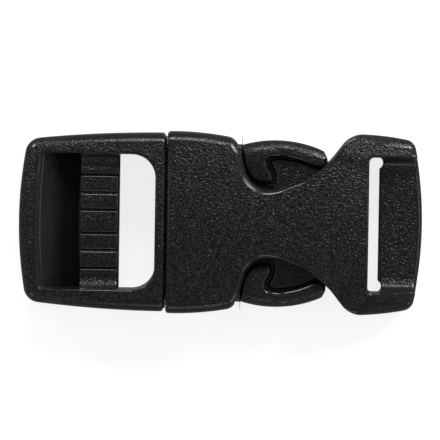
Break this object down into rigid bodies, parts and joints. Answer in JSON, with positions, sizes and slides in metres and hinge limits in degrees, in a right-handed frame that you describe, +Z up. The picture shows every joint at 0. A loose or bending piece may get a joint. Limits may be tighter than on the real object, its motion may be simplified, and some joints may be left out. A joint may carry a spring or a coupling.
{
  "type": "side-release strap buckle",
  "caption": "Fastened side-release buckle for narrow webbing: latch half with a strap adjuster, socket half with a strap slot.",
  "frame": {"origin": "middle of the flat underside, in plan and in height", "axes": "+X along the buckle from the adjuster end to the slot end, +Y across it, +Z up from the underside"},
  "size_m": [0.0486, 0.0218, 0.0074],
  "materials": {
    "latch_plastic": "fine spark-textured moulding with smooth worn edges",
    "socket_plastic": "fine spark-textured moulding with smooth worn edges"
  },
  "bodies": {
    "root": {"latch_half": "latch_plastic", "socket_half": "socket_plastic"}
  },
  "joints": []
}
